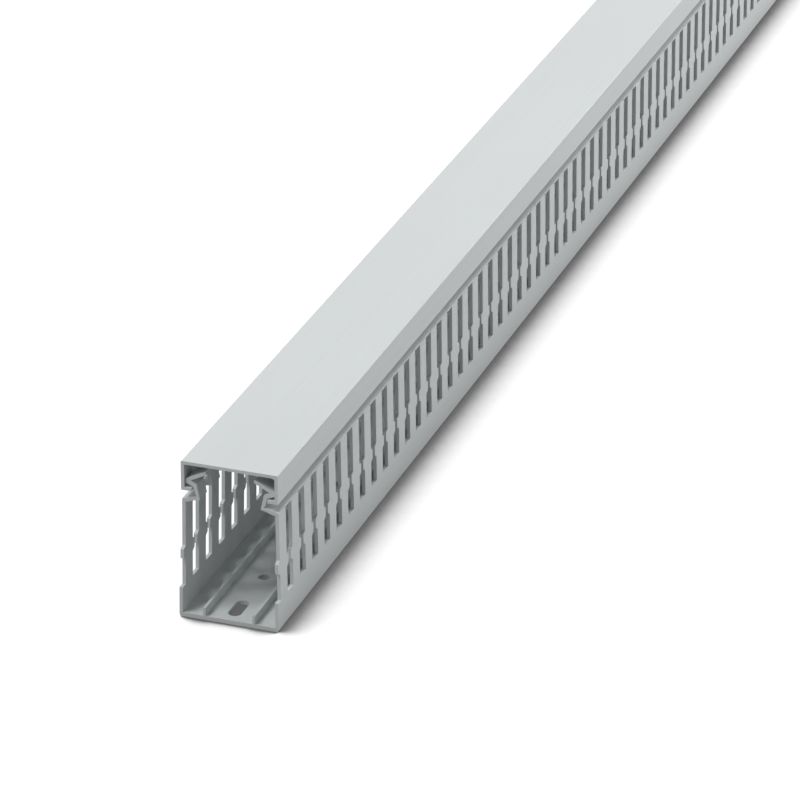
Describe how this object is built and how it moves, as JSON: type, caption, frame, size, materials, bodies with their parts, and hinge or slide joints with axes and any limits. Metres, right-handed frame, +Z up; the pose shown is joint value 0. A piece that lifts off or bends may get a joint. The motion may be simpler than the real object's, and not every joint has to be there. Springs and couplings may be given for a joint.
{
  "type": "slotted wire duct with cover",
  "caption": "Light grey plastic cable trunking with slotted finger walls, floor ribs and screw holes, closed by a clip-on cover that slides lengthwise.",
  "frame": {"origin": "middle of the underside of the channel", "axes": "+Y along the duct, +Z up from the floor to the cover, +X across; the end with the first long hole is at -Y"},
  "size_m": [0.0374, 1, 0.06],
  "materials": {
    "channel_plastic": "smooth matte extruded rigid PVC",
    "cover_plastic": "smooth satin extruded rigid PVC"
  },
  "bodies": {
    "channel": {"duct_channel": "channel_plastic"},
    "cover": {"duct_cover": "cover_plastic"}
  },
  "joints": [
    {"name": "cover_slide", "type": "slide", "parent": "channel", "child": "cover", "axis": [0, 1, 0], "range_m": [-0.998, 0.998]}
  ]
}
